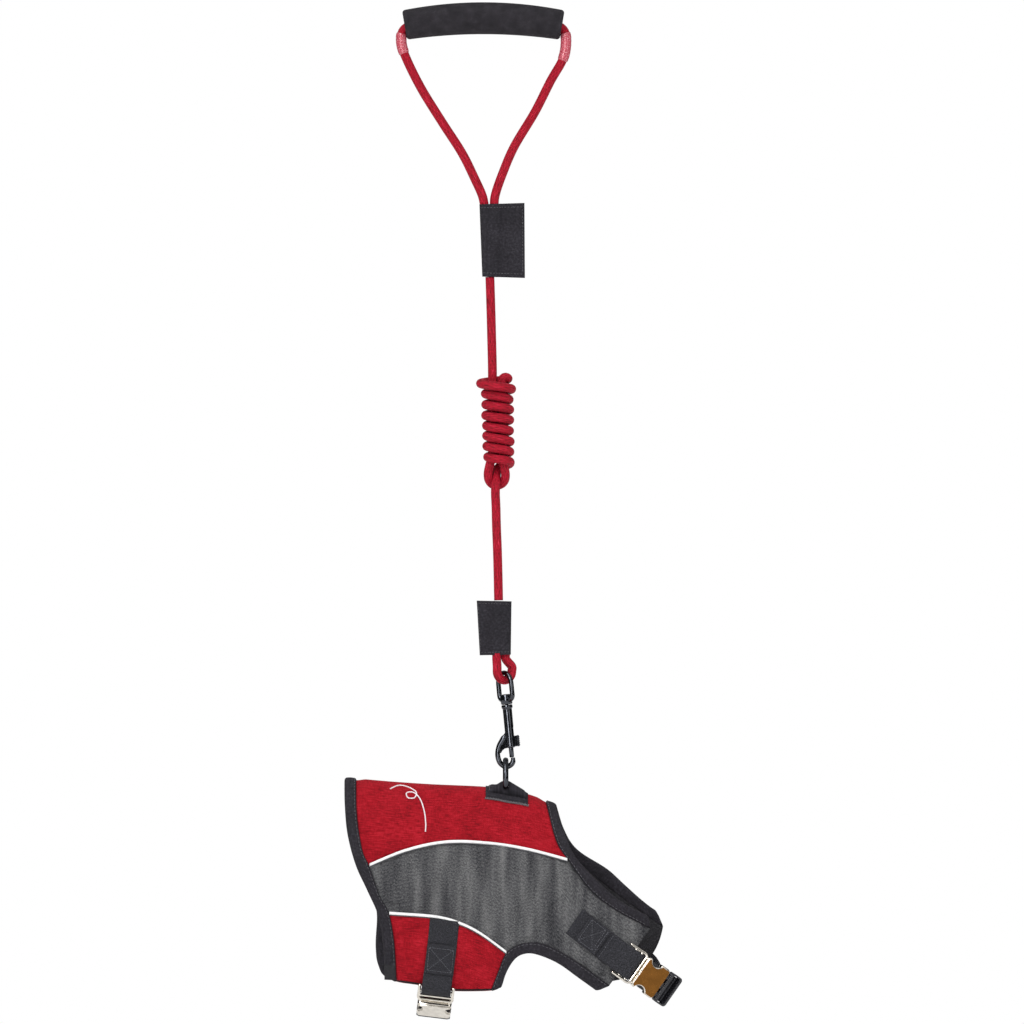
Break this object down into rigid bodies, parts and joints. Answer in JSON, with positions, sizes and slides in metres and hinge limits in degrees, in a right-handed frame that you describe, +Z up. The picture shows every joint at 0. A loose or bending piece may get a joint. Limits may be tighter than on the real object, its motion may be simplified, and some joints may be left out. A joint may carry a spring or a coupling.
{
  "type": "dog harness with leash",
  "caption": "Small dog's padded harness vest with side-release buckles under the belly and at the chest, hung by a swivel bolt snap from a rope leash with a foam hand grip.",
  "frame": {"origin": "middle of the foam hand grip, which holds the whole part up", "axes": "+Z up along the hanging leash, +X towards the dog's head, +Y towards the dog's left side"},
  "size_m": [0.2878, 0.084, 0.8652],
  "materials": {
    "foam": "matt closed-cell foam",
    "rope": "braided crimson rope",
    "whipping": "thin shrink sleeve",
    "charcoal": "charcoal binding fabric",
    "red": "red slub fabric",
    "grey": "grey heather fabric",
    "lining": "black lining fabric",
    "piping": "white piping",
    "webbing": "woven black webbing",
    "gunmetal": "gloss gunmetal plating",
    "steel": "plain spring wire",
    "chrome": "polished",
    "plastic": "moulded black plastic"
  },
  "bodies": {
    "leash": {"foam_grip": "foam", "handle_rope": "rope", "whipping_left": "whipping", "whipping_right": "whipping", "upper_sleeve": "charcoal", "leash_rope_upper": "rope", "wrapped_knot": "rope", "leash_rope_lower": "rope", "lower_sleeve": "charcoal", "rope_eye": "rope"},
    "swivel_eye": {"snap_eye": "gunmetal"},
    "hook": {"snap_body": "gunmetal", "snap_spring": "steel"},
    "bolt": {"snap_bolt": "gunmetal"},
    "ring": {"d_ring": "gunmetal"},
    "vest": {"ring_base_patch": "charcoal", "ring_webbing": "webbing", "back_panel": "red", "back_lining": "lining", "rear_binding": "charcoal", "neck_binding": "charcoal", "side_panel_near": "grey", "side_lining_near": "lining", "belly_panel_near": "red", "belly_lining_near": "lining", "upper_piping_near": "piping", "lower_piping_near": "piping", "leg_binding_near": "charcoal", "side_panel_far": "grey", "side_lining_far": "lining", "belly_panel_far": "red", "belly_lining_far": "lining", "upper_piping_far": "piping", "lower_piping_far": "piping", "leg_binding_far": "charcoal", "belly_buckle_female": "chrome", "belly_buckle_plate": "chrome", "belly_strap_near": "webbing", "chest_buckle_female": "chrome", "chest_buckle_plate": "chrome", "chest_strap_near": "webbing"},
    "belly_male": {"belly_buckle_male": "plastic", "belly_strap_far": "webbing"},
    "belly_prong_left": {"belly_buckle_prong_left": "plastic"},
    "belly_prong_right": {"belly_buckle_prong_right": "plastic"},
    "chest_male": {"chest_buckle_male": "plastic", "chest_strap_far": "webbing"},
    "chest_prong_left": {"chest_buckle_prong_left": "plastic"},
    "chest_prong_right": {"chest_buckle_prong_right": "plastic"}
  },
  "joints": [
    {"name": "snap_eye_swing", "type": "hinge", "parent": "leash", "child": "swivel_eye", "pos_m": [0.018, 0, -0.5626], "axis": [0.8154, 0.5736, 0.0785], "range_deg": [-40, 40]},
    {"name": "snap_swivel", "type": "hinge", "parent": "swivel_eye", "child": "hook", "pos_m": [0.018, 0, -0.5626], "axis": [-0.0958, 0, 0.9954], "continuous": true},
    {"name": "bolt_slide", "type": "slide", "parent": "hook", "child": "bolt", "axis": [-0.0958, 0, 0.9954], "range_m": [0, 0.007], "stiffness_N_per_m": 400, "springref_m": -0.003, "deforming": ["snap_spring"]},
    {"name": "ring_swing", "type": "hinge", "parent": "hook", "child": "ring", "pos_m": [0.019, 0, -0.6307], "axis": [0, 1, 0], "range_deg": [-35, 35]},
    {"name": "vest_tip", "type": "hinge", "parent": "ring", "child": "vest", "pos_m": [0.019, 0, -0.6527], "axis": [0, 1, 0], "range_deg": [-45, 45]},
    {"name": "belly_release", "type": "slide", "parent": "vest", "child": "belly_male", "axis": [-0.0526, 0.8988, -0.4352], "range_m": [0, 0.02]},
    {"name": "belly_squeeze_left", "type": "hinge", "parent": "belly_male", "child": "belly_prong_left", "pos_m": [-0.05055, -0.00324, -0.84351], "axis": [0.1078, 0.4384, 0.8923], "range_deg": [0, 6], "stiffness_Nm_per_rad": 0.02, "springref_deg": -1.15},
    {"name": "belly_squeeze_right", "type": "hinge", "parent": "belly_male", "child": "belly_prong_right", "pos_m": [-0.03387, -0.00324, -0.84552], "axis": [-0.1078, -0.4384, -0.8923], "range_deg": [0, 6], "stiffness_Nm_per_rad": 0.02, "springref_deg": -1.15},
    {"name": "chest_release", "type": "slide", "parent": "vest", "child": "chest_male", "axis": [0.78, 0.309, -0.5441], "range_m": [0, 0.02]},
    {"name": "chest_squeeze_left", "type": "hinge", "parent": "chest_male", "child": "chest_prong_left", "pos_m": [0.14476, -0.03211, -0.82686], "axis": [-0.2534, 0.9511, 0.1768], "range_deg": [0, 6], "stiffness_Nm_per_rad": 0.02, "springref_deg": -1.15},
    {"name": "chest_squeeze_right", "type": "hinge", "parent": "chest_male", "child": "chest_prong_right", "pos_m": [0.15437, -0.03211, -0.81308], "axis": [0.2534, -0.9511, -0.1768], "range_deg": [0, 6], "stiffness_Nm_per_rad": 0.02, "springref_deg": -1.15}
  ],
  "couplings": [
    {"joint": "belly_squeeze_right", "follows": "belly_squeeze_left", "ratio": 1},
    {"joint": "chest_squeeze_right", "follows": "chest_squeeze_left", "ratio": 1}
  ]
}
